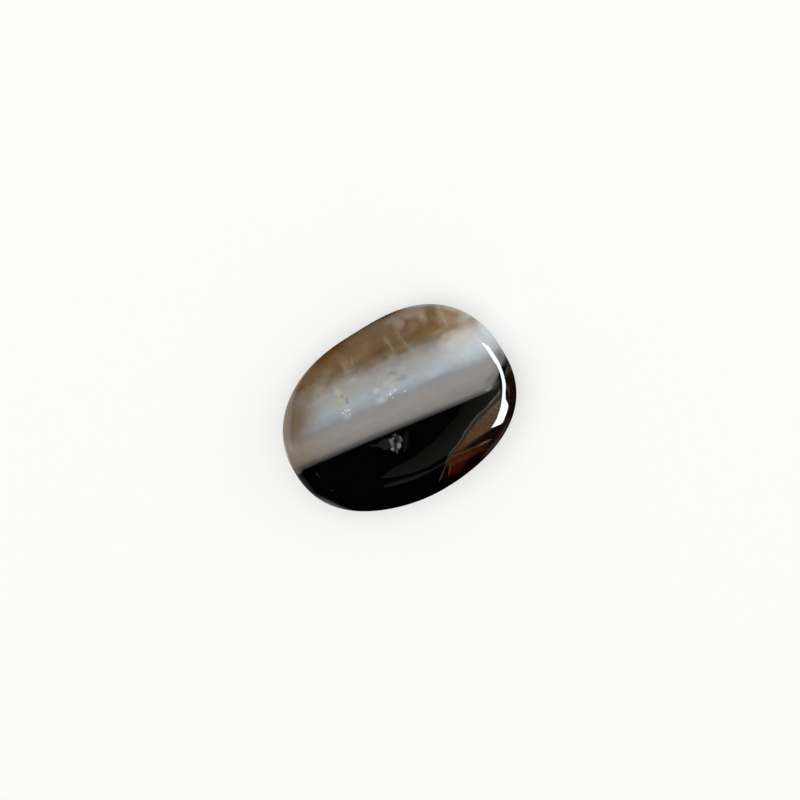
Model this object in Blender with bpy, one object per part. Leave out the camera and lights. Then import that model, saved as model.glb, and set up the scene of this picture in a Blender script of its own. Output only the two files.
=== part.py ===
"""Oval cabochon of sulemani agate: one polished stone with a low dome, a rounded girdle and a flat back.

The stone lies on its back. X runs along its length, Y across it and Z up through the dome.
The origin is the middle of the flat back's bounding box. Blender units are metres.
"""

import math

import bmesh
import bpy

MM = 0.001

# Driving sizes of the cut stone
HALF_LENGTH = 7.98 * MM
HALF_WIDTH = 5.93 * MM
HEIGHT = 5.0 * MM
GIRDLE_HEIGHT = 1.9 * MM

# The outline is a slightly squared oval: a power of 2 would be an ellipse
OUTLINE_SQUARENESS = 2.31

# Faint lobes that the hand cutting left: (waves round the outline, share of the radius, direction)
OUTLINE_LOBES = (
    (3, -0.0117, math.radians(-8.2)),
    (5, 0.0077, math.radians(-27.2)),
)

# The dome falls gently from its top and then rolls over a tight shoulder to the girdle
DOME_FLATNESS = 2.2
SHOULDER_TIGHTNESS = 2.05

# Below the girdle the wall leans in a little, and a narrow bevel meets the flat back
WALL_LEAN = 0.22 * MM
BEVEL = 0.4 * MM

# Facets: steps round the stone, and rings down the dome and the wall
SEGMENTS = 96
DOME_RINGS = 16
WALL_RINGS = 3
SHARP_ANGLE = math.radians(30)

# Finish of polished chalcedony, in the mean colour of its bands
AGATE_COLOUR = (0.20, 0.19, 0.18, 1.0)
AGATE_ROUGHNESS = 0.06
AGATE_IOR = 1.54


def clear_scene():
    """Removes whatever the file opened with."""
    for obj in list(bpy.data.objects):
        bpy.data.objects.remove(obj)


def outline_radius(angle):
    """Distance from the stone's middle to its girdle in this direction: a superellipse times the lobes."""
    lengthwise = abs(math.cos(angle) / HALF_LENGTH) ** OUTLINE_SQUARENESS
    crosswise = abs(math.sin(angle) / HALF_WIDTH) ** OUTLINE_SQUARENESS
    radius = (lengthwise + crosswise) ** (-1 / OUTLINE_SQUARENESS)
    lobes = sum(share * math.cos(waves * (angle - turn)) for waves, share, turn in OUTLINE_LOBES)
    return radius * (1 + lobes)


def segment_angles():
    """The directions of the vertices round a ring."""
    return [2 * math.pi * k / SEGMENTS for k in range(SEGMENTS)]


def outline_centre():
    """The middle of the outline's bounding box, which the lobes push a little off the superellipse's."""
    xs = [outline_radius(angle) * math.cos(angle) for angle in segment_angles()]
    ys = [outline_radius(angle) * math.sin(angle) for angle in segment_angles()]
    return (min(xs) + max(xs)) / 2, (min(ys) + max(ys)) / 2


def dome_height(share):
    """Height above the back at this share of the way from the dome's top out to the girdle."""
    fall = max(0.0, 1 - share**DOME_FLATNESS)
    return GIRDLE_HEIGHT + (HEIGHT - GIRDLE_HEIGHT) * fall ** (1 / SHOULDER_TIGHTNESS)


def ring_profile():
    """(share of the outline, inset from it, height) of each ring, from near the dome's top to the back."""
    profile = []
    for k in range(1, DOME_RINGS + 1):
        share = math.sin(math.pi / 2 * k / DOME_RINGS)
        profile.append((share, 0.0, dome_height(share)))
    for k in range(1, WALL_RINGS + 1):
        down = k / WALL_RINGS
        profile.append((1.0, WALL_LEAN * down**2, GIRDLE_HEIGHT - (GIRDLE_HEIGHT - BEVEL) * down))
    profile.append((1.0, WALL_LEAN + BEVEL, 0.0))
    return profile


def add_ring(bm, centre, share, inset, height):
    """One closed ring of vertices round the stone."""
    verts = []
    for angle in segment_angles():
        radius = share * outline_radius(angle) - inset
        x = radius * math.cos(angle) - centre[0]
        y = radius * math.sin(angle) - centre[1]
        verts.append(bm.verts.new((x, y, height)))
    return verts


def build_stone():
    """The stone's mesh: a fan of triangles at the top, rings of quads down to the bevel, and the flat back."""
    centre = outline_centre()
    bm = bmesh.new()
    top = bm.verts.new((-centre[0], -centre[1], HEIGHT))
    rings = [add_ring(bm, centre, share, inset, height) for share, inset, height in ring_profile()]
    for k in range(SEGMENTS):
        after = (k + 1) % SEGMENTS
        bm.faces.new((top, rings[0][k], rings[0][after]))
        for upper, lower in zip(rings, rings[1:]):
            bm.faces.new((upper[k], lower[k], lower[after], upper[after]))
    bm.faces.new(reversed(rings[-1]))
    bmesh.ops.recalc_face_normals(bm, faces=bm.faces)
    mesh = bpy.data.meshes.new("agate")
    bm.to_mesh(mesh)
    bm.free()
    mesh.shade_smooth()
    mesh.set_sharp_from_angle(angle=SHARP_ANGLE)
    return mesh


def polished_agate():
    """Polished banded chalcedony."""
    material = bpy.data.materials.new("polished_agate")
    material.use_nodes = True
    shader = material.node_tree.nodes["Principled BSDF"]
    shader.inputs["Base Color"].default_value = AGATE_COLOUR
    shader.inputs["Roughness"].default_value = AGATE_ROUGHNESS
    shader.inputs["Metallic"].default_value = 0.0
    shader.inputs["IOR"].default_value = AGATE_IOR
    return material


def main():
    """Builds the stone, the object's only piece."""
    clear_scene()
    stone = bpy.data.objects.new("agate", build_stone())
    stone.data.materials.append(polished_agate())
    bpy.context.scene.collection.objects.link(stone)


main()
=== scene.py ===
"""The looks of a polished sulemani agate cabochon, lying on its flat back on a pale floor.

The stone is one surface worked out from a formula, in place of the plain CAD solid. Its layers, its brown
corner and its small inclusions are one procedural material in the stone's own coordinates, so they run
through the stone and show on its sides and its back as well. Some of it is painted light: a highlight on
each small glint, and shade in part of a dark band across the brown corner.
"""

import logging
import math
from collections.abc import Mapping, Sequence
from dataclasses import dataclass
from enum import Enum

import bpy
import numpy as np
from mathutils import Euler, Matrix, Vector


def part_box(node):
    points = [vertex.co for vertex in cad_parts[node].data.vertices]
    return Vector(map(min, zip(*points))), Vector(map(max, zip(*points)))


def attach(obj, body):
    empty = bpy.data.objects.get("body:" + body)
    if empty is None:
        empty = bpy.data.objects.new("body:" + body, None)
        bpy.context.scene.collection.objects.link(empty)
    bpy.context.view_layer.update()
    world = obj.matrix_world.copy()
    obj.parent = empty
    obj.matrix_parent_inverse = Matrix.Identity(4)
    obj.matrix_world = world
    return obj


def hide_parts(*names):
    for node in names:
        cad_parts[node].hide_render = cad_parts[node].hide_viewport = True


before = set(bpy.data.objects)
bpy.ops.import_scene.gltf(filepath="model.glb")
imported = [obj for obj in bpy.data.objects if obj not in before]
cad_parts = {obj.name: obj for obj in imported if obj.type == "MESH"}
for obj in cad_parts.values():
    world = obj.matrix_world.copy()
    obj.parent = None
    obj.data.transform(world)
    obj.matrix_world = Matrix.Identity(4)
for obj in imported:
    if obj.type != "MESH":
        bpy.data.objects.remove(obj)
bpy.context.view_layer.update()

MM = 0.001
STONE_NODE = "agate"
STONE_MIDDLE = (0.0, 0.0, 2.5 * MM)

log = logging.getLogger("agate")

# Kinds of shader node that come up again and again
MATH = "ShaderNodeMath"
VECTOR_MATH = "ShaderNodeVectorMath"
MIX = "ShaderNodeMix"
NOISE = "ShaderNodeTexNoise"
PLACE = "ShaderNodeMapping"
SPLIT = "ShaderNodeSeparateXYZ"
RAMP = "ShaderNodeValToRGB"
CURVE = "ShaderNodeFloatCurve"
RANGE = "ShaderNodeMapRange"
BALL = "ShaderNodeTexGradient"
COORDINATES = "ShaderNodeTexCoord"
EMISSION = "ShaderNodeEmission"
LIGHT_PATH = "ShaderNodeLightPath"
MIX_SHADERS = "ShaderNodeMixShader"

# Sockets of the Mix node when it mixes colours, and its settings for that
FACTOR, FIRST, SECOND = 0, 6, 7
AS_COLOURS = {"data_type": "RGBA", "output": 2}

Socket = bpy.types.NodeSocket
Tree = bpy.types.NodeTree
Colour = tuple[float, float, float, float]
Stops = tuple[tuple[float, str], ...]
Rows = tuple[tuple[float, ...], ...]


class Blend(Enum):
    """How a patch of colour joins what lies below it: it covers it, or it tints it as a filter would."""

    COVER = "MIX"
    TINT = "MULTIPLY"


class Ray(Enum):
    """What light is being followed: straight to the camera, or back from a mirror image."""

    CAMERA = "Is Camera Ray"
    MIRRORED = "Is Glossy Ray"


def linear(colour: str) -> Colour:
    """Turns an sRGB hex colour into linear light.

    Args:
        colour: six hex digits, such as "8c857d".

    Returns:
        Red, green, blue and an alpha of 1.
    """
    channels = [int(colour[k : k + 2], 16) / 255 for k in (0, 2, 4)]
    values = [c / 12.92 if c <= 0.04045 else ((c + 0.055) / 1.055) ** 2.4 for c in channels]
    return (*values, 1.0)


def add_node(
    tree: Tree,
    kind: str,
    inputs: Mapping | Sequence = (),
    output: int | str = 0,
    points: Sequence[tuple] = (),
    **settings: object,
) -> Socket | None:
    """Adds one node with its settings, its input values and its links.

    Args:
        tree: the node tree to add to.
        kind: the node's type name.
        inputs: a value or a socket for each input, by its name or number, or in order.
        output: which output to give back.
        points: (position, hex colour) stops of a colour ramp, or (x, y) points of a curve.
        settings: the node's own properties.

    Returns:
        The chosen output socket, or None for a node that has no outputs.
    """
    node = tree.nodes.new(kind)
    for name, value in settings.items():
        setattr(node, name, value)
    pairs = inputs.items() if isinstance(inputs, Mapping) else enumerate(inputs)
    for key, value in pairs:
        if isinstance(value, Socket):
            tree.links.new(value, node.inputs[key])
        else:
            node.inputs[key].default_value = value
    if kind == RAMP:
        stops = node.color_ramp.elements
        while len(stops) < len(points):
            stops.new(1.0)
        for stop, (position, colour) in zip(stops, points):
            stop.position = position
            stop.color = linear(colour)
    if kind == CURVE:
        curve = node.mapping.curves[0]
        while len(curve.points) < len(points):
            curve.points.new(0.5, 0.5)
        for point, place in zip(curve.points, points):
            point.location = place
        node.mapping.update()
    return node.outputs[output] if node.outputs else None


@dataclass(frozen=True)
class Cabochon:
    """The stone's form, in millimetres: a squared oval under a low dome, with a bevelled flat back."""

    half_length: float = 7.98
    half_width: float = 5.93
    height: float = 5.0
    girdle: float = 1.9
    squareness: float = 2.31
    dome_flatness: float = 2.2
    shoulder_tightness: float = 2.05
    wall_lean: float = 0.22
    bevel: float = 0.4
    edge_round: float = 0.14

    # Each lobe of the outline: its number of waves, their share of the radius and their turn in degrees
    lobes: Rows = ((3, -0.0117, -8.2), (5, 0.0077, -27.2))

    # The dome's slow waves: their height, and for each its share of that, its radians per mm in x and y, and
    # its shift
    unevenness: float = 0.006
    waves: Rows = ((1.0, 1.3, 0.7, 0.0), (1.0, 0.8, -1.9, 1.0), (0.6, 2.3, 1.7, 4.0))

    # The mesh: steps round the stone, and rings on the dome, the wall, each rounded edge and the back
    segments: int = 384
    dome_rings: int = 112
    wall_rings: int = 20
    edge_rings: int = 8
    back_rings: int = 20

    def outline(self, angles: np.ndarray) -> np.ndarray:
        """Distance from the middle to the girdle: a superellipse, times one plus a cosine for each lobe.

        Args:
            angles: directions from the middle, in radians.

        Returns:
            One radius for each direction.
        """
        lengthwise = np.abs(np.cos(angles) / self.half_length) ** self.squareness
        crosswise = np.abs(np.sin(angles) / self.half_width) ** self.squareness
        radius = (lengthwise + crosswise) ** (-1 / self.squareness)
        for count, share, turn in self.lobes:
            radius = radius * (1 + share * np.cos(count * (angles - math.radians(turn))))
        return radius

    def rounded(self, before: np.ndarray, corner: np.ndarray, after: np.ndarray) -> np.ndarray:
        """A quadratic Bezier curve that rounds a corner between the points before and after it."""
        t = np.linspace(0, 1, self.edge_rings)[:, None]
        return (1 - t) ** 2 * before + 2 * t * (1 - t) * corner + t**2 * after

    def profile(self) -> np.ndarray:
        """The section from beside the dome's top, over the girdle, round the bevel and in along the back.

        The dome's height falls as (1 - share^flatness)^(1/tightness) towards the girdle. The wall below
        leans in by the square of the way down, and the two edges of the bevel are rounded.

        Returns:
            A row for each ring: its share of the outline, its inset from it and its height.
        """
        share = np.sin(np.linspace(0, math.pi / 2, self.dome_rings + 1)[1:])
        fall = np.clip(1 - share**self.dome_flatness, 0, 1) ** (1 / self.shoulder_tightness)
        dome = np.stack([share, 0 * share, self.girdle + (self.height - self.girdle) * fall], axis=1)

        wall_foot = np.array([self.wall_lean, self.bevel])
        back_edge = np.array([self.wall_lean + self.bevel, 0.0])
        down = np.linspace(0, 1 - self.edge_round / (self.girdle - self.bevel), self.wall_rings + 1)[1:]
        wall_height = self.girdle - (self.girdle - self.bevel) * down
        wall = np.stack([self.wall_lean * down**2, wall_height], axis=1)
        slope = (back_edge - wall_foot) / np.linalg.norm(back_edge - wall_foot)
        upper = self.rounded(wall[-1], wall_foot, wall_foot + slope * self.edge_round)[1:]
        inward = back_edge + np.array([self.edge_round, 0.0])
        lower = self.rounded(back_edge - slope * self.edge_round, back_edge, inward)
        below = np.concatenate([wall, upper, lower])
        below = np.insert(below, 0, 1.0, axis=1)

        share = np.linspace(1, 0, self.back_rings + 1)[1:-1]
        back = np.stack([share, share * inward[0], 0 * share], axis=1)
        return np.concatenate([dome, below, back])

    def rings(self) -> np.ndarray:
        """The surface's points: each ring of the profile carried round the outline, fitted to the CAD box.

        Slow sine waves lift and lower the dome by about a hundredth of a mm, as hand polishing leaves it.

        Returns:
            Points in mm, indexed by ring, step round it and axis.
        """
        angles = np.linspace(0, 2 * math.pi, self.segments, endpoint=False)
        share, inset, height = (column[:, None] for column in self.profile().T)
        radius = share * self.outline(angles) - inset
        x = radius * np.cos(angles)
        y = radius * np.sin(angles)
        swell = sum(part * np.sin(in_x * x + in_y * y + shift) for part, in_x, in_y, shift in self.waves)
        dome_share = np.clip((height - self.girdle) / (self.height - self.girdle), 0, 1)
        z = height + self.unevenness * swell * dome_share
        low, high = (np.array(corner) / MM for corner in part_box(STONE_NODE))
        x = low[0] + (x - x.min()) * (high[0] - low[0]) / np.ptp(x)
        y = low[1] + (y - y.min()) * (high[1] - low[1]) / np.ptp(y)
        return np.stack([x, y, z], axis=2)

    def build(self) -> bpy.types.Object:
        """Makes the closed mesh: quads between rings, and a fan to a middle point at the top and the back.

        Returns:
            The stone, at the origin, with no material yet.
        """
        rings = self.rings()
        count, steps = rings.shape[:2]
        top = rings[0].mean(axis=0)
        back = rings[-1].mean(axis=0)
        points = np.concatenate([rings.reshape(-1, 3), [top, back]]) * MM
        here = np.arange(steps)
        after = (here + 1) % steps
        upper = (np.arange(count - 1) * steps)[:, None]
        quads = np.stack([upper + here, upper + steps + here, upper + steps + after, upper + after], axis=2)
        last = (count - 1) * steps
        top_fan = np.stack([np.full(steps, count * steps), here, after], axis=1)
        back_fan = np.stack([np.full(steps, count * steps + 1), last + after, last + here], axis=1)
        faces = quads.reshape(-1, 4).tolist() + top_fan.tolist() + back_fan.tolist()
        mesh = bpy.data.meshes.new("polished_agate")
        mesh.from_pydata(points.tolist(), [], faces)
        mesh.validate()
        mesh.shade_smooth()
        stone = bpy.data.objects.new("polished_agate", mesh)
        bpy.context.scene.collection.objects.link(stone)
        return stone


@dataclass(frozen=True)
class Blot:
    """A soft-edged patch of another colour inside the stone, or a pool of light on the floor.

    Its middle and its half sizes are in mm. In the stone they are along the layers, across them from the
    black edge, and up. Its turn is in degrees. Its strength is the most that it covers, and its softness the
    share of it that fades.
    """

    colour: str
    along: float
    across: float
    length: float
    width: float
    turn: float = 0.0
    strength: float = 1.0
    softness: float = 1.0
    up: float = 0.0
    depth: float = 40.0
    blend: Blend = Blend.COVER

    def cover(self, tree: Tree, place: Socket) -> Socket:
        """How much the blot covers at a place: a smooth step of the distance inside its ellipsoid.

        Args:
            tree: the material's tree.
            place: places in mm.

        Returns:
            The share covered, from 0 to the blot's strength.
        """
        ellipsoid = {
            "Vector": place,
            "Location": (self.along, self.across, self.up),
            "Rotation": (0, 0, math.radians(self.turn)),
            "Scale": (self.length, self.width, self.depth),
        }
        inside = add_node(tree, PLACE, ellipsoid, vector_type="TEXTURE")
        ball = add_node(tree, BALL, [inside], output="Fac", gradient_type="SPHERICAL")
        limits = {"Value": ball, "From Max": self.softness, "To Max": self.strength}
        return add_node(tree, RANGE, limits, interpolation_type="SMOOTHSTEP")

    def lay(self, tree: Tree, place: Socket, colour: Socket | Colour) -> Socket:
        """Lays the blot over a colour and gives the colour that results."""
        inputs = {FACTOR: self.cover(tree, place), FIRST: colour, SECOND: linear(self.colour)}
        return add_node(tree, MIX, inputs, blend_type=self.blend.value, **AS_COLOURS)


def blots_at(up: float, depth: float, *rows: tuple) -> tuple[Blot, ...]:
    """Blots that share their height in the stone and their half depth. Each row holds one's other values."""
    return tuple(Blot(*row, up=up, depth=depth) for row in rows)


def wander(tree: Tree, place: Socket, grain: float, reach: float) -> Socket:
    """Moves places about by soft noise, so that patches lose their plain oval form.

    Args:
        tree: the material's tree.
        place: places in mm.
        grain: size of the noise's swirls, in mm.
        reach: about the most that a place moves, in mm.

    Returns:
        The moved places.
    """
    noise = {"Vector": place, "Scale": 1 / grain, "Detail": 3.0, "Roughness": 0.6}
    swirl = add_node(tree, NOISE, noise, output="Color")
    centred = add_node(tree, VECTOR_MATH, [swirl, (0.5, 0.5, 0.5)], operation="SUBTRACT")
    step = add_node(tree, VECTOR_MATH, {0: centred, "Scale": 2 * reach}, operation="SCALE")
    return add_node(tree, VECTOR_MATH, [place, step], operation="ADD")


@dataclass(frozen=True)
class Clouds:
    """Faint clouds between two tints, in a layer that sets in from one distance across to another, in mm."""

    start: float
    full: float
    grain: float
    dull: str
    clear: str
    tint_limits: tuple[float, float] = (0.38, 0.62)

    def tint(self, tree: Tree, place: Socket, across: Socket, colour: Socket) -> Socket:
        """Tints a colour by the clouds, where their layer is.

        Args:
            tree: the material's tree.
            place: places in mm.
            across: the distance across the layers, in mm.
            colour: what they tint.

        Returns:
            The tinted colour.
        """
        layer = add_node(tree, RANGE, {"Value": across, "From Min": self.start, "From Max": self.full})
        noise = {"Vector": place, "Scale": 1 / self.grain, "Detail": 4.0, "Roughness": 0.6}
        stops = tuple(zip(self.tint_limits, (self.dull, self.clear)))
        hue = add_node(tree, RAMP, [add_node(tree, NOISE, noise)], points=stops)
        inputs = {FACTOR: layer, FIRST: colour, SECOND: hue}
        return add_node(tree, MIX, inputs, blend_type=Blend.TINT.value, **AS_COLOURS)


@dataclass(frozen=True)
class BrownCorner:
    """The corner of brown chalcedony beyond the black layer, with the pale line that borders it."""

    # The corner's edge, (along, across) in mm. It wavers by noise of this scale per mm, to about this reach
    edge: Rows = (
        (0.0, -4.8),
        (0.75, -4.08),
        (1.35, -3.5),
        (1.83, -2.93),
        (2.44, -2.47),
        (3.03, -2.14),
        (3.51, -1.76),
        (4.69, -1.07),
        (5.57, -0.74),
        (6.69, -0.22),
        (7.05, 0.1),
        (7.5, 0.75),
        (8.0, 1.3),
    )
    edge_low: float = -5.0
    edge_high: float = 1.5
    waver_scale: float = 1.9
    waver: float = 0.24

    # The way in from the edge is stretched by this much up to here along it, and no more from there on
    fine_stretch: float = 2.5
    fine_part: tuple[float, float] = (1.3, 3.2)

    # The corner's own layers, by mm across them: dark red, a streaked brown, amber-brown and grey-brown.
    # They ripple by a flattened noise
    colours: Stops = (
        (-4.20, "080201"),
        (-4.05, "2c0702"),
        (-3.80, "380e03"),
        (-3.58, "330f05"),
        (-3.44, "40200f"),
        (-3.24, "3f2010"),
        (-3.12, "321a0c"),
        (-3.04, "422b1e"),
        (-2.97, "48352a"),
        (-2.89, "311a0b"),
        (-2.65, "492a11"),
        (-2.38, "533a22"),
        (-2.05, "4c3721"),
        (-1.60, "503a2b"),
        (-0.90, "5c4e48"),
    )
    ripple_scale: tuple[float, float, float] = (0.7, 2.4, 0.7)
    ripple: float = 0.14

    # Ochre and rusty clouds over them: their scale per mm, their strength and their tints
    cloud_scale: float = 3.6
    cloud_strength: float = 0.9
    cloud_tints: Stops = ((0.36, "c0a87c"), (0.5, "ffffff"), (0.64, "e2b89e"))

    # The streaks and the dark parts of the corner, and grey streaks where its edge runs up at the blunt end,
    # with the grain and the reach of their wandering. The dark band across the corner is partly the stone's
    # own dark brown and partly painted shade, and the pale streak below it is partly a painted highlight
    shade_wander: tuple[float, float] = (0.5, 0.06)
    marks_and_painted_light: tuple[Blot, ...] = (
        Blot("5d524b", 5.9, -0.72, 0.7, 0.11, 24, 0.6),
        Blot("5c5a58", 6.65, -0.3, 0.42, 0.14, 40, 0.9),
        Blot("302e2a", 7.6, 0.4, 0.6, 0.55, 30, 0.9, 0.5),
        Blot("4b4a44", 7.5, 0.2, 0.45, 0.1, 45, 0.9),
        Blot("3b3b35", 7.6, 0.75, 0.3, 0.07, 45, 0.8),
        # Dark band across the corner: partly the stone's own dark brown, partly painted shade
        Blot("120804", 5.6, -2.62, 2.82, 0.35, 4, 0.97, 0.3),
        Blot("140a04", 5.2, -3.2, 2.3, 0.5, 3, 0.85),
        # Pale streak below the dark band: partly a painted highlight
        Blot("6d5f58", 4.5, -2.98, 0.75, 0.1, 2, 0.8),
        Blot("5c2216", 2.5, -3.38, 0.16, 0.12, 0, 0.6),
        Blot("070201", 4.0, -4.05, 1.7, 0.68, 0, 0.97, 0.25),
        Blot("180b06", 6.35, -4.5, 2.4, 1.8, -20, 0.97, 0.12),
        Blot("150a06", 8.0, -1.2, 1.7, 2.0, 0, 0.97, 0.2),
        Blot("150a06", 6.6, -2.0, 0.7, 0.4, 0, 0.97, 0.3),
        Blot("443f3c", 7.22, -0.45, 0.1, 0.6, -10, 0.7),
        Blot("060505", 1.3, -3.98, 0.9, 0.2, 57, 0.95, 0.4),
        Blot("3c332e", 1.7, -3.72, 0.62, 0.07, 57, 0.9, 0.8),
        Blot("030303", 0.45, -4.5, 0.6, 0.4, 45, 1.0, 0.4),
    )

    # The line along the corner's edge and the dip beside it, by mm inwards from the edge, how far in they
    # give way to the corner's layers, and the half width of the soft step at the edge itself
    lines: Stops = (
        (0.00, "070706"),
        (0.05, "242420"),
        (0.10, "3e3e38"),
        (0.15, "38362f"),
        (0.21, "231c15"),
        (0.36, "261e15"),
        (0.44, "3b2d22"),
    )
    lines_end: tuple[float, float] = (0.32, 0.46)
    edge_step: float = 0.03

    def lay(self, tree: Tree, place: Socket, colour: Socket) -> Socket:
        """Lays the brown corner over the layers, below its wavy edge.

        Args:
            tree: the material's tree.
            place: places in mm.
            colour: the layers' colour.

        Returns:
            The colour with the corner laid over it.
        """
        along, across, _ = add_node(tree, SPLIT, [place]).node.outputs
        inside = self.way_in(tree, place, along, across)
        lines = add_node(tree, RAMP, [inside], points=self.lines)
        start, end = self.lines_end
        past_lines = add_node(tree, RANGE, {"Value": inside, "From Min": start, "From Max": end})
        inputs = {FACTOR: past_lines, FIRST: lines, SECOND: self.body(tree, place, across)}
        corner = add_node(tree, MIX, inputs, **AS_COLOURS)
        feathered = wander(tree, place, *self.shade_wander)
        # Lays the corner's marks, with the painted shade and the painted highlight among them
        for shade in self.marks_and_painted_light:
            corner = shade.lay(tree, feathered, corner)
        limits = {"Value": inside, "From Min": -self.edge_step, "From Max": self.edge_step}
        begun = add_node(tree, RANGE, limits)
        return add_node(tree, MIX, {FACTOR: begun, FIRST: colour, SECOND: corner}, **AS_COLOURS)

    def way_in(self, tree: Tree, place: Socket, along: Socket, across: Socket) -> Socket:
        """How far inside the corner's edge a place lies, measured across the layers.

        It is stretched at the edge's lower end, where the line beside it is finer.

        Args:
            tree: the material's tree.
            place: places in mm.
            along: the distance along the layers, in mm.
            across: the distance across them, in mm.

        Returns:
            The way in from the edge, in mm, below 0 outside it.
        """
        reach = self.edge[-1][0]
        low, span = self.edge_low, self.edge_high - self.edge_low
        share = add_node(tree, MATH, [along, reach], operation="DIVIDE")
        points = [(mm / reach, (height - low) / span) for mm, height in self.edge]
        edge = add_node(tree, CURVE, {"Value": share}, points=points)
        edge = add_node(tree, MATH, [edge, span, low], operation="MULTIPLY_ADD")
        inside = add_node(tree, MATH, [edge, across], operation="SUBTRACT")
        start, end = self.fine_part
        limits = {"Value": along, "From Min": start, "From Max": end, "To Min": self.fine_stretch}
        inside = add_node(tree, MATH, [inside, add_node(tree, RANGE, limits)], operation="MULTIPLY")
        noise = add_node(tree, NOISE, {"Vector": place, "Scale": self.waver_scale, "Detail": 3.0})
        noise = add_node(tree, MATH, [noise, 0.5], operation="SUBTRACT")
        return add_node(tree, MATH, [noise, self.waver, inside], operation="MULTIPLY_ADD")

    def body(self, tree: Tree, place: Socket, across: Socket) -> Socket:
        """The corner's own rippled layers, with clouds over them.

        Args:
            tree: the material's tree.
            place: places in mm.
            across: the distance across the layers, in mm.

        Returns:
            Their colour.
        """
        flow = add_node(tree, PLACE, {"Vector": place, "Scale": self.ripple_scale})
        ripple = add_node(tree, NOISE, {"Vector": flow, "Scale": 1.0, "Detail": 4.0, "Roughness": 0.6})
        ripple = add_node(tree, MATH, [ripple, 0.5], operation="SUBTRACT")
        across = add_node(tree, MATH, [ripple, self.ripple, across], operation="MULTIPLY_ADD")
        low = self.edge_low
        share = add_node(tree, RANGE, {"Value": across, "From Min": low, "From Max": 0.0})
        stops = [((mm - low) / -low, stop_colour) for mm, stop_colour in self.colours]
        body = add_node(tree, RAMP, [share], points=stops)
        noise = {"Vector": place, "Scale": self.cloud_scale, "Detail": 4.0, "Roughness": 0.65}
        hue = add_node(tree, RAMP, [add_node(tree, NOISE, noise)], points=self.cloud_tints)
        inputs = {FACTOR: self.cloud_strength, FIRST: body, SECOND: hue}
        return add_node(tree, MIX, inputs, blend_type=Blend.TINT.value, **AS_COLOURS)


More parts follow.
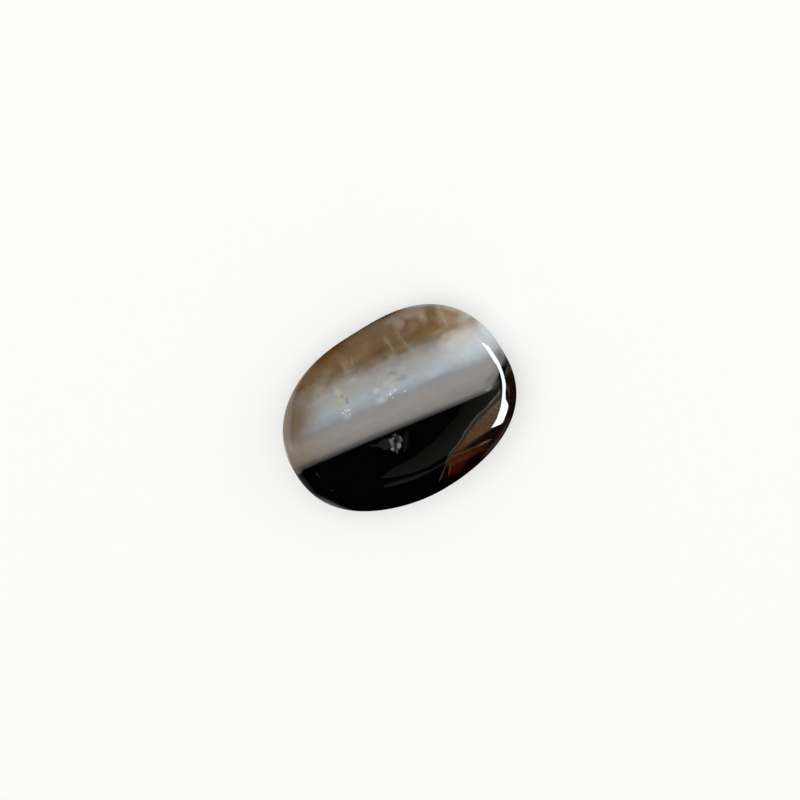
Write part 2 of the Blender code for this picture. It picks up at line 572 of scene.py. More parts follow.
@dataclass(frozen=True)
class BandedAgate:
    """Chalcedony, cut as a cabochon and polished to a gloss.

    It grew in parallel layers. To the eye there is a sharp black layer, a blue-white milky one and a clearer
    brown one with feathery healed cracks, all under one wet-looking polish. The back is only ground smooth.
    """

    # How the layers stand in the stone, in degrees: they lean a little, and run a little off its length
    lean: tuple[float, float, float] = (4.94, -7.53, 8.4)

    # How far the black edge passes from the stone's middle across the layers, in mm
    black_edge: float = -0.996

    # Chalcedony's usual index of refraction, a fine polish, and the ground back, with the heights in mm
    # below which it sets in and is full
    ior: float = 1.54
    roughness: float = 0.035
    ground_roughness: float = 0.34
    ground_below: float = 0.3
    ground_full: float = 0.075

    # How far light wanders in the milky layers, in mm, how much of it does, and each channel's share of that
    glow_depth: float = 0.35
    glow: float = 0.25
    glow_shares: tuple[float, float, float] = (1.0, 0.95, 0.9)

    # The layers' colours from the black edge outwards, by mm across them
    span: float = 7.0
    layer_colours: Stops = (
        (-0.04, "020202"),
        (-0.01, "444544"),
        (0.05, "4a4b4a"),
        (0.12, "545553"),
        (0.18, "5e5f5d"),
        (0.25, "6a6968"),
        (0.32, "737270"),
        (0.45, "797673"),
        (0.75, "817d79"),
        (1.15, "878380"),
        (1.65, "868380"),
        (1.98, "808285"),
        (2.22, "8b9095"),
        (2.70, "9aa1a7"),
        (3.15, "999b9b"),
        (3.85, "908f8c"),
        (4.30, "827d75"),
        (4.62, "756a5c"),
        (5.00, "6d5b46"),
        (6.00, "6f5d47"),
    )

    # The dark layers turn up at the stone's blunt end: where, how steeply, over what distance, and how far
    # across the layers this still shows, in mm
    turn_start: float = 6.3
    turn_slope: float = 1.0
    turn_round: float = 0.3
    turn_reach: float = 2.3

    # Smoke that blurs the black edge, most of all towards the round tip, and a brown tinge at the tip itself
    smoke: tuple[Blot, ...] = (
        Blot("020202", -3.5, -0.07, 10.0, 0.62, 0, 0.42, 0.5),
        Blot("020202", -3.2, -0.07, 10.0, 0.245, 0, 1.0, 0.8),
        Blot("ece4dc", -6.6, 0.35, 1.3, 0.45, blend=Blend.TINT),
        Blot("6a6258", -7.6, 0.05, 0.5, 0.3),
    )

    # The layers' widths swell by slow noise. They ripple by a flattened one, with a reach in mm that grows
    # between two distances across them
    swell_scale: float = 0.55
    swell: float = 0.24
    ripple_scale: tuple[float, float, float] = (0.8, 1.6, 0.8)
    ripple: float = 0.75
    ripple_grows: tuple[float, float] = (1.2, 4.0)

    # Clouds in the milky layer, cream to bluish, and in the brown one, amber to mauve
    clouds: tuple[Clouds, ...] = (
        Clouds(1.9, 2.6, 0.6, "f8f6ee", "fafcff"),
        Clouds(4.2, 4.9, 0.8, "f6e6cf", "fffdff"),
    )

    # Growth lines and cloudiness all through: the scale of their noise, and how much each darkens
    line_scale: tuple[float, float, float] = (0.25, 9.0, 0.25)
    line_depth: float = 0.04
    cloudiness_scale: float = 1.4
    cloudiness_depth: float = 0.14

    # How places wander for the drifts and patches, for the cracks and mottles, and for the crystals: the
    # grain of the noise and its reach, in mm
    patch_wander: tuple[float, float] = (0.8, 0.22)
    crack_wander: tuple[float, float] = (0.35, 0.13)
    crystal_wander: tuple[float, float] = (0.12, 0.07)

    # Broad changes along the layers: browner at the round tip, paler and more tan at the blunt end
    drifts: tuple[Blot, ...] = (
        Blot("f8e7d7", -8.0, 1.0, 5.5, 1.9, blend=Blend.TINT),
        Blot("e9e2d8", -5.6, 3.2, 2.2, 1.9, blend=Blend.TINT),
        Blot("695946", -7.5, 3.45, 3.1, 2.4, 0, 0.95, 0.6),
        Blot("91877c", -7.5, 1.6, 1.0, 0.7, 0, 0.6),
        Blot("7b5838", -3.6, 6.1, 1.9, 0.8, 8, 0.7),
        Blot("52351a", -2.0, 6.62, 1.8, 0.6, 15, 0.9),
        Blot("5a3c1f", -3.2, 6.1, 1.3, 0.55, 22, 0.8),
        Blot("bdc3c6", 7.2, 3.2, 5.0, 1.7, 0, 0.9),
        Blot("c2bdb3", 6.1, 3.95, 2.4, 0.9, 0, 0.65),
        Blot("b8a793", 5.9, 4.4, 1.7, 0.45, 0, 0.6),
        Blot("8b7760", 6.0, 5.8, 1.8, 1.6, 0, 1.0, 0.5),
        Blot("a6a79d", 6.6, 5.0, 1.1, 0.75, 30, 0.9),
        Blot("d0d9e1", 7.45, 3.65, 0.6, 1.15, 23, 0.85),
        Blot("646a6f", 7.6, 1.7, 0.55, 0.75, 0, 0.95),
    )

    # Patches where the milky layer meets the brown one, and in the brown one: umber, tan and mauve
    patches: tuple[Blot, ...] = (
        Blot("aab0b5", -0.6, 2.2, 0.65, 0.4, 0, 0.75),
        Blot("a0a4a8", -3.1, 2.1, 0.5, 0.25, 0, 0.6),
        Blot("a9b1bc", 3.3, 2.5, 1.4, 0.5, 0, 0.65),
        Blot("777772", 0.75, 3.5, 0.5, 0.35, 0, 0.9),
        Blot("a5a8a8", -1.85, 4.05, 0.8, 0.32, 0, 0.5),
        Blot("75654f", -5.0, 4.35, 1.0, 0.65, 4, 0.75),
        Blot("8f8a83", -4.0, 4.45, 0.7, 0.4, 0, 0.7),
        Blot("8a867f", -1.85, 4.75, 0.7, 0.4, 0, 0.6),
        Blot("86796a", -3.7, 4.85, 0.9, 0.5, 6, 0.6),
        Blot("7e7266", -3.1, 5.25, 0.6, 0.45, 0, 0.5),
        Blot("6a5841", 1.85, 4.6, 0.8, 0.38, 0, 0.95),
        Blot("63543e", 0.66, 4.75, 0.5, 0.45, 0, 0.8),
        Blot("564329", 0.5, 5.2, 1.2, 0.45, 4, 0.8),
        Blot("5e482d", 2.9, 5.2, 1.2, 0.42, 5, 0.8),
        Blot("7a5c38", 4.1, 5.05, 0.8, 0.4, 5, 0.75),
        Blot("95805f", 4.6, 4.8, 0.9, 0.32, 0, 0.6),
        Blot("9f927b", 4.8, 4.2, 0.5, 0.4, 0, 0.8),
        Blot("9a8975", 3.95, 6.25, 0.45, 0.8, 0, 0.85),
        Blot("67543c", 4.75, 6.05, 0.35, 0.55, 0, 0.8),
        Blot("4c3d2c", 1.7, 7.15, 0.9, 0.2, 0, 0.7),
        Blot("5e4a30", -1.35, 6.25, 0.75, 0.5, 0, 0.75),
        Blot("664c33", -2.55, 5.95, 0.7, 0.5, 0, 0.6),
        Blot("79664a", -0.95, 5.3, 1.0, 0.5, 15, 0.7),
        Blot("735f48", -0.2, 5.75, 0.8, 0.35, 10, 0.5),
        Blot("6b5848", 0.7, 6.55, 1.5, 0.6, 6, 0.8),
        Blot("847466", 2.0, 6.75, 0.9, 0.42, 0, 0.9),
        Blot("8b7a6b", 3.5, 6.75, 1.5, 0.65, -4, 0.9, 0.7),
        Blot("87766a", 2.36, 6.3, 0.45, 0.5, 0, 0.9, 0.6),
        Blot("7a684f", 3.2, 5.85, 0.5, 0.5, 0, 0.7),
        Blot("7a655a", -0.05, 4.62, 0.5, 0.25, 0, 0.6),
    )

    # Healed cracks that stand across the brown layer: a soft veil with a finer, paler line in it
    cracks: tuple[Blot, ...] = blots_at(
        2.0, 3.0,
        ("7b6a53", 1.2, 5.65, 0.3, 0.5, 0, 0.8),
        ("7f6f55", 1.32, 5.15, 0.17, 0.85, 6, 0.75),
        ("7d6c55", 2.05, 5.75, 0.3, 1.1, 0, 0.7),
        ("82735e", 2.27, 4.85, 0.17, 0.8, 10, 0.8),
        ("938068", 5.17, 5.75, 0.24, 1.0, 0, 0.5),
        ("a09079", 5.17, 5.5, 0.11, 1.15, 0, 0.6),
        ("a3967f", 5.2, 6.4, 0.35, 0.35, 0, 0.6),
        ("7d6d56", -1.85, 5.4, 0.5, 0.8, 4, 0.7),
        ("877862", -1.98, 5.1, 0.2, 0.6, 10, 0.6),
        ("877962", -1.37, 5.25, 0.17, 0.65, -6, 0.65),
    )

    # Creamy and blue-white mottles in the milky layer, with a few brown specks, and darker grey towards the
    #     # black edge where the layers turn up at the blunt end
    mottles: tuple[Blot, ...] = (
        *blots_at(
            2.2, 2.5,
            ("a6a59a", 0.1, 3.05, 0.45, 0.35, 0, 0.8),
            ("a2a195", 0.6, 3.25, 0.4, 0.32, 0, 0.8),
            ("aaaaa4", 0.45, 2.78, 0.4, 0.28, 0, 0.8),
            ("a8abaa", -0.65, 2.88, 0.45, 0.3, 0, 0.9),
            ("7d796d", 1.15, 3.0, 0.6, 0.28, 0, 0.65),
            ("b3b8bd", 0.3, 2.45, 0.9, 0.22, 3, 0.7),
        ),
        *blots_at(
            1.8, 2.5,
            ("a5a298", -3.04, 3.75, 0.4, 0.45, 0, 0.8),
            ("a29f92", -3.02, 3.25, 0.35, 0.35, 0, 0.7),
            ("a5a49f", -3.0, 2.42, 0.6, 0.25, 0, 0.7),
            ("989384", -3.3, 2.95, 0.7, 0.4, 0, 0.75),
            ("716a5c", -2.62, 3.15, 0.17, 0.16, 0, 0.8),
            ("7b7567", -2.68, 2.93, 0.2, 0.16, 0, 0.8),
            ("77705f", -2.88, 3.42, 0.16, 0.16, 0, 0.6),
        ),
        # Darker grey towards the black edge, where the layers turn up at the blunt end by the shoulder
        *blots_at(
            2.0, 2.5,
            ("5c5b5a", 6.4, 0.7, 1.0, 0.35, 22, 0.6),
            ("3c3c3b", 6.6, 0.25, 0.55, 0.3, 45, 0.85),
        ),
        Blot("858583", 6.0, 0.16, 0.45, 0.1, 5, 0.85, up=2.2, depth=2.5),
    )

    # Glints at the foot of the milky layer: small pale inclusions, each with a painted highlight. Along,
    # across
    #     # and radius in mm
    glint_colour: str = "dde1e6"
    glints: Rows = (
        (-3.24, 2.42, 0.1), (-3.13, 2.16, 0.07), (-3.03, 2.52, 0.08), (-2.85, 2.16, 0.08),
        (-2.81, 2.45, 0.1), (-0.16, 2.31, 0.07), (0.06, 2.31, 0.13), (0.12, 2.04, 0.07),
        (0.47, 2.45, 0.1), (1.0, 2.14, 0.1),
    )

    # A grey haze in the black layer, and the pocket of tiny crystals in it. Two faint scratches stand apart
    haze: tuple[Blot, ...] = (
        *blots_at(
            2.2, 2.0,
            ("1b1b1b", -1.48, -0.54, 0.43, 0.42, 66, 0.95, 0.3),
            ("19191a", -1.72, -0.43, 0.34, 0.24, -24, 0.95, 0.35),
            ("161617", -2.15, -0.33, 0.5, 0.13, -24, 0.9, 0.5),
            ("0e1012", -0.22, -0.86, 0.85, 0.2, 58, 0.9, 0.35),
        ),
        *blots_at(
            1.0, 3.0,
            ("282a2c", -6.38, -0.65, 0.36, 0.06, -71, 0.9, 0.8),
            ("303032", -5.94, -1.94, 0.11, 0.08, 0, 0.9, 0.8),
        ),
    )
    crystals: tuple[Blot, ...] = blots_at(
        2.2, 1.6,
        ("252523", -0.87, -0.72, 0.66, 0.42, 66, 0.95, 0.35),
        ("40423f", -0.69, -0.21, 0.15, 0.12, 10, 1.0, 0.8),
        ("5e5e5b", -1.08, -0.54, 0.32, 0.15, -81, 1.0, 0.7),
        ("5a5c57", -0.91, -0.4, 0.15, 0.12, 30, 1.0, 0.7),
        ("525154", -1.12, -0.85, 0.32, 0.11, -87, 1.0, 0.7),
        ("706f72", -1.21, -1.01, 0.16, 0.13, -60, 1.0, 0.7),
        ("454543", -0.99, -1.23, 0.22, 0.11, 75, 1.0, 0.8),
        ("6f6f6c", -0.72, -0.95, 0.26, 0.19, 60, 1.0, 0.6),
        ("4e504d", -0.45, -0.56, 0.27, 0.12, -84, 1.0, 0.7),
        ("4a4b48", -0.48, -0.7, 0.18, 0.1, -5, 1.0, 0.7),
        ("0b0c0a", -0.8, -0.58, 0.17, 0.13, 40, 0.9, 0.7),
    )

    def material(self) -> bpy.types.Material:
        """Builds the stone's material.

        Returns:
            The finished material.
        """
        material = bpy.data.materials.new("banded_agate_polished")
        material.use_nodes = True
        tree = material.node_tree
        shader = tree.nodes["Principled BSDF"]
        place = self.layer_frame(tree)
        colour = self.layers(tree, place)
        colour = self.features(tree, place, colour)
        colour = self.growth_lines(tree, place, colour)
        colour = self.crystal_pocket(tree, place, colour)
        colour = BrownCorner().lay(tree, place, colour)
        tree.links.new(colour, shader.inputs["Base Color"])
        tree.links.new(self.polish(tree), shader.inputs["Roughness"])
        shader.inputs["IOR"].default_value = self.ior
        shader.inputs["Subsurface Weight"].default_value = self.glow
        shader.inputs["Subsurface Scale"].default_value = self.glow_depth * MM
        shader.inputs["Subsurface Radius"].default_value = self.glow_shares
        return material

    def layer_frame(self, tree: Tree) -> Socket:
        """Turns Object coordinates to the layers' own.

        Args:
            tree: the material's tree.

        Returns:
            Places in mm along the layers, across them from the black edge, and up.
        """
        angles = [math.radians(angle) for angle in self.lean]
        start = -(Euler(angles).to_matrix() @ Vector(STONE_MIDDLE)) / MM
        start.y -= self.black_edge
        coordinates = add_node(tree, COORDINATES, output="Object")
        place = {"Vector": coordinates, "Location": start, "Rotation": angles, "Scale": (1 / MM,) * 3}
        return add_node(tree, PLACE, place)

    def layers(self, tree: Tree, place: Socket) -> Socket:
        """The colours of the parallel layers, by the distance across them.

        The distance is first set back where the dark layers turn up at the blunt end: from the raised black
        edge to the turn's reach it is stretched back to its usual width. Then it wavers by soft noise.

        Args:
            tree: the material's tree.
            place: places in mm.

        Returns:
            The layers' colour, with their clouds and smoke.
        """
        along, across, _ = add_node(tree, SPLIT, [place]).node.outputs
        past = add_node(tree, MATH, [along, self.turn_start], operation="SUBTRACT")
        turned = add_node(tree, MATH, [past, 0.0, self.turn_round], operation="SMOOTH_MAX")
        rise = add_node(tree, MATH, [turned, self.turn_slope], operation="MULTIPLY")
        stretch = {"Value": across, "From Min": rise, "From Max": self.turn_reach, "To Max": self.turn_reach}
        stretched = add_node(tree, RANGE, stretch, clamp=False)
        across = add_node(tree, MATH, [stretched, across], operation="MINIMUM")

        noise = {"Vector": place, "Scale": self.swell_scale, "Detail": 3.0, "Roughness": 0.6}
        swell = [add_node(tree, NOISE, noise), self.swell, 1 - self.swell / 2]
        swell = add_node(tree, MATH, swell, operation="MULTIPLY_ADD")
        across = add_node(tree, MATH, [across, swell], operation="MULTIPLY")
        flow = add_node(tree, PLACE, {"Vector": place, "Scale": self.ripple_scale})
        ripple = add_node(tree, NOISE, {"Vector": flow, "Scale": 1.0, "Detail": 4.0, "Roughness": 0.6})
        start, full = self.ripple_grows
        limits = {"Value": across, "From Min": start, "From Max": full, "To Max": self.ripple}
        reach = add_node(tree, RANGE, limits)
        ripple = add_node(tree, MATH, [ripple, 0.5], operation="SUBTRACT")
        across = add_node(tree, MATH, [ripple, reach, across], operation="MULTIPLY_ADD")

        first = self.layer_colours[0][0]
        share = add_node(tree, RANGE, {"Value": across, "From Min": first, "From Max": first + self.span})
        stops = [((mm - first) / self.span, stop_colour) for mm, stop_colour in self.layer_colours]
        colour = add_node(tree, RAMP, [share], points=stops)
        for clouds in self.clouds:
            colour = clouds.tint(tree, place, across, colour)
        for blot in self.smoke:
            colour = blot.lay(tree, place, colour)
        return colour

    def features(self, tree: Tree, place: Socket, colour: Socket) -> Socket:
        """Lays the drifts, patches, cracks, mottles and glints over the layers, one after another.

        Args:
            tree: the material's tree.
            place: places in mm.
            colour: the layers' colour.

        Returns:
            The colour with them laid over it.
        """
        moved = wander(tree, place, *self.patch_wander)
        for blot in self.drifts + self.patches:
            colour = blot.lay(tree, moved, colour)
        feathered = wander(tree, place, *self.crack_wander)
        for blot in self.cracks + self.mottles:
            colour = blot.lay(tree, feathered, colour)
        # Each glint is a small pale inclusion with a painted highlight on it
        for along, across, radius in self.glints:
            size = {"length": radius, "width": radius, "up": 2.2, "depth": 1.9}
            glint = Blot(self.glint_colour, along, across, strength=0.75, softness=0.9, **size)
            colour = glint.lay(tree, place, colour)
        return colour

    def growth_lines(self, tree: Tree, place: Socket, colour: Socket) -> Socket:
        """Fine lines along the layers, about 0.1 mm apart, and cloudiness of about 0.7 mm.

        Args:
            tree: the material's tree.
            place: places in mm.
            colour: what they darken.

        Returns:
            The colour, darkened by the lines and the cloudiness.
        """
        stretched = add_node(tree, PLACE, {"Vector": place, "Scale": self.line_scale})
        lines = add_node(tree, NOISE, {"Vector": stretched, "Scale": 1.0, "Detail": 2.0})
        noise = {"Vector": place, "Scale": self.cloudiness_scale, "Detail": 5.0, "Roughness": 0.65}
        clouds = add_node(tree, NOISE, noise)
        for pattern, depth in ((lines, self.line_depth), (clouds, self.cloudiness_depth)):
            shade = add_node(tree, MATH, [pattern, 2 * depth, 1 - depth], operation="MULTIPLY_ADD")
            inputs = {FACTOR: 1.0, FIRST: colour, SECOND: shade}
            colour = add_node(tree, MIX, inputs, blend_type=Blend.TINT.value, **AS_COLOURS)
        return colour

    def crystal_pocket(self, tree: Tree, place: Socket, colour: Socket) -> Socket:
        """Lays the haze in the black layer, and over it the pocket's pale crystals, ragged by fine noise.

        Args:
            tree: the material's tree.
            place: places in mm.
            colour: the layers' colour.

        Returns:
            The colour with the haze and the crystals laid over it.
        """
        for blot in self.haze:
            colour = blot.lay(tree, place, colour)
        ragged = wander(tree, place, *self.crystal_wander)
        for crystal in self.crystals:
            colour = crystal.lay(tree, ragged, colour)
        return colour

    def polish(self, tree: Tree) -> Socket:
        """Roughness by the height in the stone: the polish runs down to the bevel, and the back is ground.

        Args:
            tree: the material's tree.

        Returns:
            The roughness.
        """
        coordinates = add_node(tree, COORDINATES, output="Object")
        height = add_node(tree, SPLIT, [coordinates], output="Z")
        limits = {
            "Value": height,
            "From Min": self.ground_full * MM,
            "From Max": self.ground_below * MM,
            "To Min": self.ground_roughness,
            "To Max": self.roughness,
        }
        return add_node(tree, RANGE, limits)


@dataclass(frozen=True)
class PaleFloor:
    """Plain matt board, painted near-white: an even, soft ground with no gloss.

    To the camera it glows a little of itself, as a light table does, so the stone's shadow on it is faint.
    In the stone's polish it shows only as pools of light, close round the stone and to the side of its round
    tip, because the rest of it lies in the dark of the room. Each pool is a blot in mm on the floor, laid
    over those before it, and the more it covers, the brighter it is.
    """

    colour: str = "e6e6e5"
    roughness: float = 0.9
    glow_colour: str = "fafaf9"
    glow_share: float = 0.5
    half_width: float = 3.0
    drop: float = 0.02 * MM
    pools: tuple[Blot, ...] = (
        Blot("ffffff", 10.2, 2.8, 4.6, 5.0, 95, 0.6, 0.6),
        Blot("ffffff", 8.4, 5.6, 4.0, 2.3, 40, 1.0),
        Blot("ffffff", 5.6, 7.0, 1.6, 1.6, 0, 0.35),
        Blot("ffffff", 5.4, 6.0, 2.6, 1.4, -20, 0.6),
        Blot("ffdacd", 5.8, -8.7, 3.2, 2.6, 30, 0.17, 0.5),
        Blot("ffffff", -10.2, -4.8, 9.0, 2.4, 25, 0.45),
        Blot("ffffff", -13.0, -1.2, 11.0, 3.2, 5, 0.12, 0.6),
        Blot("ffffff", -9.8, 2.0, 2.4, 1.9, 45, 0.8, 0.85),
        Blot("ffffff", -59.0, 22.0, 57.5, 8.7, -18, 0.73, 0.16),
        Blot("ffffff", -7.5, 4.4, 12.0, 4.1, -14, 0.5, 0.45),
    )

    def mirror_light(self, tree: Tree) -> Socket:
        """The light of the floor's mirror image.

        Args:
            tree: the floor's tree.

        Returns:
            Black, with the pools laid over it.
        """
        coordinates = add_node(tree, COORDINATES, output="Object")
        place = add_node(tree, PLACE, {"Vector": coordinates, "Scale": (1 / MM,) * 3})
        light = linear("000000")
        for pool in self.pools:
            light = pool.lay(tree, place, light)
        return light

    def build(self) -> bpy.types.Object:
        """Makes the floor just under the stone's back, and dresses it.

        Returns:
            The floor.
        """
        corners = np.array([(-1, -1, 0), (1, -1, 0), (1, 1, 0), (-1, 1, 0)]) * self.half_width
        corners[:, 2] = -self.drop
        mesh = bpy.data.meshes.new("floor")
        mesh.from_pydata(corners.tolist(), [], [(0, 1, 2, 3)])
        material = bpy.data.materials.new("white_board_matt")
        material.use_nodes = True
        tree = material.node_tree
        shader = tree.nodes["Principled BSDF"]
        shader.inputs["Base Color"].default_value = linear(self.colour)
        shader.inputs["Roughness"].default_value = self.roughness
        shader.inputs["Specular IOR Level"].default_value = 0.0
        glow = add_node(tree, EMISSION, [linear(self.glow_colour), 1.0])
        seen = add_node(tree, LIGHT_PATH, output=Ray.CAMERA.value)
        share = add_node(tree, MATH, [seen, self.glow_share], operation="MULTIPLY")
        board = add_node(tree, MIX_SHADERS, [share, shader.outputs["BSDF"], glow])
        pool = add_node(tree, EMISSION, [self.mirror_light(tree), 1.0])
        mirrored = add_node(tree, LIGHT_PATH, output=Ray.MIRRORED.value)
        both = add_node(tree, MIX_SHADERS, [mirrored, board, pool])
        tree.links.new(both, tree.nodes["Material Output"].inputs["Surface"])
        mesh.materials.append(material)
        floor = bpy.data.objects.new("floor", mesh)
        bpy.context.scene.collection.objects.link(floor)
        return floor


@dataclass(frozen=True)
class Softbox:
    """A rectangular lamp facing the stone, placed by its direction in degrees and its distance in metres.

    It lights the stone's body and the floor, and has no mirror image in the polish.
    """

    name: str
    azimuth: float
    elevation: float
    distance: float
    width: float
    height: float
    radiance: float

    def build(self) -> bpy.types.Object:
        """Makes the lamp. Its power is its radiance times its area times pi.

        Returns:
            The lamp.
        """
        light = bpy.data.lights.new(self.name, "AREA")
        light.shape = "RECTANGLE"
        light.size = self.width
        light.size_y = self.height
        light.energy = self.radiance * self.width * self.height * math.pi
        lamp = bpy.data.objects.new(self.name, light)
        towards = direction(self.azimuth, self.elevation)
        lamp.location = towards * self.distance
        lamp.rotation_euler = towards.to_track_quat("Z", "Y").to_euler()
        lamp.visible_glossy = False
        lamp.visible_camera = False
        bpy.context.scene.collection.objects.link(lamp)
        return lamp


@dataclass(frozen=True)
class GlowCard:
    """A glowing card beside the stone that shows only as a mirror image in its polish.

    Its upper and lower edges are smooth curves through (azimuth, elevation) directions in degrees, seen from
    the stone's middle, and the card is the ruled surface between them. Its radiance falls with height by
    its dimming times the sine of the elevation.
    """

    name: str
    upper: tuple
    lower: tuple
    distance: float
    radiance: float
    dimming: float = 0.0
    colour: str = "ffffff"
    steps: int = 80
    rows: int = 8

    def edge(self, directions: tuple) -> np.ndarray:
        """A Catmull-Rom spline through the directions, put at the card's distance.

        Between points a and b, with m before and n after them, it is
        (2a + (b - m) t + (2m - 5a + 4b - n) t^2 + (3a - m - 3b + n) t^3) / 2.

        Args:
            directions: (azimuth, elevation) pairs, in degrees.

        Returns:
            A row of points along the edge, in metres.
        """
        points = np.array(directions, dtype=float)
        ends = np.concatenate([[2 * points[0] - points[1]], points, [2 * points[-1] - points[-2]]])
        way = np.linspace(0, len(points) - 1, self.steps)
        step = np.minimum(way.astype(int), len(points) - 2)
        t = (way - step)[:, None]
        m, a, b, n = (ends[step + k] for k in range(4))
        square = 2 * m - 5 * a + 4 * b - n
        cube = 3 * a - m - 3 * b + n
        curve = (2 * a + (b - m) * t + square * t**2 + cube * t**3) / 2
        azimuth, elevation = np.radians(curve).T
        level = np.cos(elevation)
        outward = np.stack([level * np.cos(azimuth), level * np.sin(azimuth), np.sin(elevation)], axis=1)
        return np.array(STONE_MIDDLE) + self.distance * outward

    def build(self) -> bpy.types.Object:
        """Makes the card and its glow.

        Returns:
            The card.
        """
        t = np.linspace(0, 1, self.rows)[:, None, None]
        points = (1 - t) * self.edge(self.lower) + t * self.edge(self.upper)
        here = np.arange(self.steps - 1) + self.steps * np.arange(self.rows - 1)[:, None]
        faces = np.stack([here, here + 1, here + self.steps + 1, here + self.steps], axis=2)
        mesh = bpy.data.meshes.new(self.name)
        mesh.from_pydata(points.reshape(-1, 3).tolist(), [], faces.reshape(-1, 4).tolist())
        material = bpy.data.materials.new(self.name)
        material.use_nodes = True
        tree = material.node_tree
        tree.nodes.clear()
        _, _, height = add_node(tree, SPLIT, [add_node(tree, COORDINATES, output="Object")]).node.outputs
        fall = -self.radiance * self.dimming / self.distance
        light = add_node(tree, MATH, [height, fall, self.radiance], operation="MULTIPLY_ADD")
        glow = add_node(tree, EMISSION, [linear(self.colour), light])
        add_node(tree, "ShaderNodeOutputMaterial", [glow])
        mesh.materials.append(material)
        card = bpy.data.objects.new(self.name, mesh)
        card.visible_camera = False
        card.visible_diffuse = False
        card.visible_shadow = False
        bpy.context.scene.collection.objects.link(card)
        return card


@dataclass(frozen=True)
class Surroundings:
    """The room round the table: pale to the camera, softly lit for the stone's body, dark in its polish."""

    pale: str = "f8f8f7"
    body_light: float = 0.45
    mirror_light: float = 0.002

    def build(self) -> None:
        """Makes the world's shader, which chooses its brightness by the ray that looks."""
        world = bpy.data.worlds.new("room")
        world.use_nodes = True
        bpy.context.scene.world = world
        tree = world.node_tree
        tree.nodes.clear()
        mirrored = add_node(tree, LIGHT_PATH, output=Ray.MIRRORED.value)
        limits = {"Value": mirrored, "To Min": self.body_light, "To Max": self.mirror_light}
        light = add_node(tree, RANGE, limits)
        room = add_node(tree, "ShaderNodeBackground", {"Color": linear("ffffff"), "Strength": light})
        backdrop = add_node(tree, "ShaderNodeBackground", {"Color": linear(self.pale), "Strength": 1.0})
        camera_ray = add_node(tree, LIGHT_PATH, output=Ray.CAMERA.value)
        both = add_node(tree, MIX_SHADERS, [camera_ray, room, backdrop])
        add_node(tree, "ShaderNodeOutputWorld", [both])


def direction(azimuth: float, elevation: float) -> Vector:
    """The unit vector of an azimuth from +X towards +Y and an elevation from the floor, in degrees."""
    a, e = math.radians(azimuth), math.radians(elevation)
    return Vector((math.cos(e) * math.cos(a), math.cos(e) * math.sin(a), math.sin(e)))


@dataclass(frozen=True)
class PhotoCamera:
    """The photograph's view: nearly straight down, with the stone's length turned up to the right.

    Its direction and roll are in degrees, its distance and how far it stands aside in metres, and its sensor
    in mm.
    """

    azimuth: float = 33.07
    elevation: float = 81.0
    roll: float = -155.0
    distance: float = 0.150
    aside: tuple[float, float] = (0.165 * MM, 0.875 * MM)
    pixels_per_mm: float = 15.25
    image_width: int = 800
    sensor: float = 36.0
    nearest: float = 5 * MM

    def build(self) -> bpy.types.Object:
        """Makes the camera and makes it the scene's own.

        Its lens follows from the photograph's scale: the width in mm that the image spans at the stone.

        Returns:
            The camera.
        """
        data = bpy.data.cameras.new("photo_camera")
        data.sensor_width = self.sensor
        spanned = self.image_width / self.pixels_per_mm * MM
        data.lens = self.sensor * self.distance / spanned
        data.clip_start = self.nearest
        camera = bpy.data.objects.new("photo_camera", data)
        back = direction(self.azimuth, self.elevation)
        level = Vector((-back.y, back.x, 0)).normalized()
        turn = Matrix.Rotation(math.radians(self.roll), 3, back)
        right = turn @ level
        up = back.cross(right)
        axes = Matrix((right, up, back)).transposed().to_4x4()
        place = Vector(STONE_MIDDLE) + back * self.distance + right * self.aside[0] + up * self.aside[1]
        camera.matrix_world = Matrix.Translation(place) @ axes
        bpy.context.scene.collection.objects.link(camera)
        bpy.context.scene.camera = camera
        return camera


SOFTBOXES = (
    Softbox("overhead_softbox", 120, 80, 0.6, 0.7, 0.7, 2.3),
    Softbox("side_softbox", -10, 40, 0.6, 0.4, 0.4, 1.6),
)

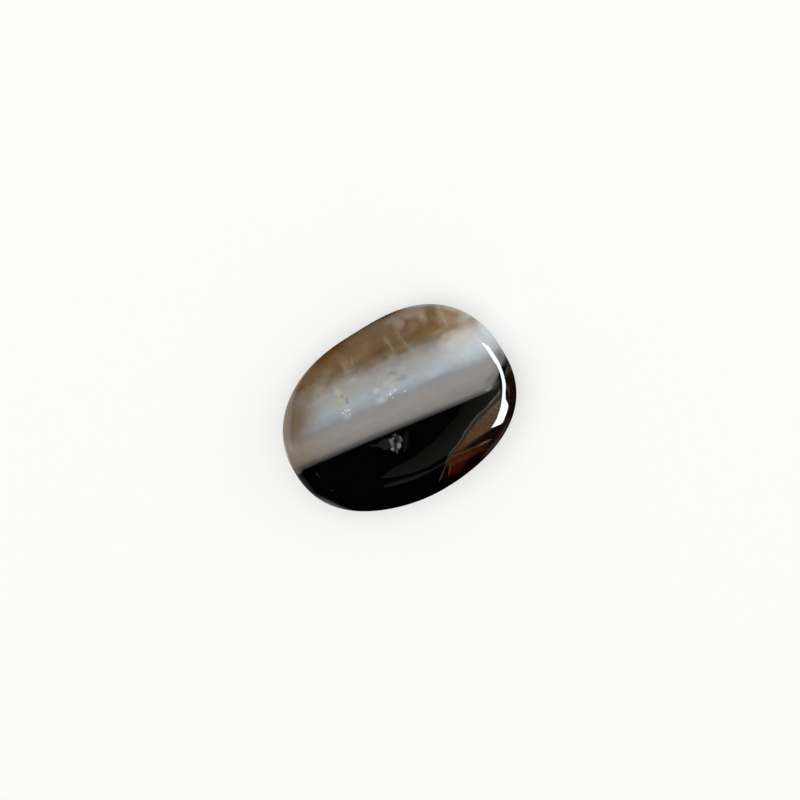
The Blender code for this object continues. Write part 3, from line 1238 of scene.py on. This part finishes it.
CARDS = (
    GlowCard(
        "window",
        upper=(
            (6.4, 8.4), (2.9, 8.5), (-0.5, 8.3), (-4.1, 8.4), (-8.0, 7.7), (-12.2, 8.2), (-16.4, 9.0),
            (-20.3, 9.9), (-24.7, 11.0), (-29.5, 12.0), (-34.0, 12.4), (-40.6, 12.6), (-46.7, 12.7),
            (-53.2, 13.9),
        ),
        lower=(
            (6.4, 8.1), (2.7, 2.8), (-0.6, 1.9), (-3.2, 1.7), (-6.8, 1.9), (-12.0, 2.9), (-17.2, 3.9),
            (-21.1, 4.4), (-25.3, 6.1), (-29.6, 6.5), (-32.0, 5.2), (-34.3, 1.6), (-37.0, -1.5),
            (-42.0, -1.4), (-48.3, -1.5),
        ),
        distance=13.0 * MM,
        radiance=20.0,
        colour="f4fbff",
    ),
    GlowCard(
        "window_edge",
        upper=((16.5, 15.4), (13.5, 13.8), (11.3, 11.3), (8.7, 9.4), (6.4, 9.4)),
        lower=((16.5, 14.6), (13.5, 12.2), (11.3, 9.5), (8.7, 7.5), (6.4, 7.2)),
        distance=13.0 * MM,
        radiance=3.3,
        colour="95cbff",
    ),
    GlowCard(
        "grey_wall",
        upper=(
            (-123.6, 41.6), (-120.4, 48.0), (-113.0, 54.0), (-103.5, 56.0), (-95.9, 58.3), (-86.5, 61.2),
            (-74.7, 62.6), (-58.5, 63.4), (-42.7, 64.0), (-20.0, 64.0), (0.0, 60.0),
        ),
        lower=(
            (-123.6, 41.0), (-117.0, 39.2), (-111.5, 39.1), (-105.0, 38.6), (-100.0, 37.6), (-95.3, 35.8),
            (-89.0, 33.0), (-82.0, 27.0), (-70.0, 20.0), (-45.0, 17.0), (0.0, 20.0),
        ),
        distance=0.5,
        radiance=0.385,
        dimming=0.92,
        colour="fffef2",
    ),
    GlowCard(
        "grey_ledge",
        upper=(
            (-121.2, 33.0), (-116.0, 34.2), (-110.8, 33.7), (-105.5, 33.4), (-99.7, 32.2), (-95.7, 30.4),
            (-88.0, 27.0),
        ),
        lower=(
            (-120.6, 29.2), (-115.0, 28.4), (-110.4, 27.6), (-105.2, 27.2), (-99.6, 28.3), (-95.8, 27.3),
            (-88.0, 25.4),
        ),
        distance=0.5,
        radiance=0.19,
    ),
)


def main() -> None:
    """Builds the stone and the studio round it."""
    logging.basicConfig(level=logging.INFO, format="%(message)s")
    bpy.context.scene.view_settings.view_transform = "Standard"
    stone = Cabochon().build()
    stone.data.materials.append(BandedAgate().material())
    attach(stone, "root")
    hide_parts(STONE_NODE)
    log.info("stone: %d points, %d faces", len(stone.data.vertices), len(stone.data.polygons))
    for piece in (PaleFloor(), *CARDS):
        staged = piece.build()
        log.info("stage: %s", staged.name)
    for softbox in SOFTBOXES:
        log.info("lamp: %s", softbox.build().name)
    Surroundings().build()
    PhotoCamera().build()


if __name__ == "__main__":
    main()
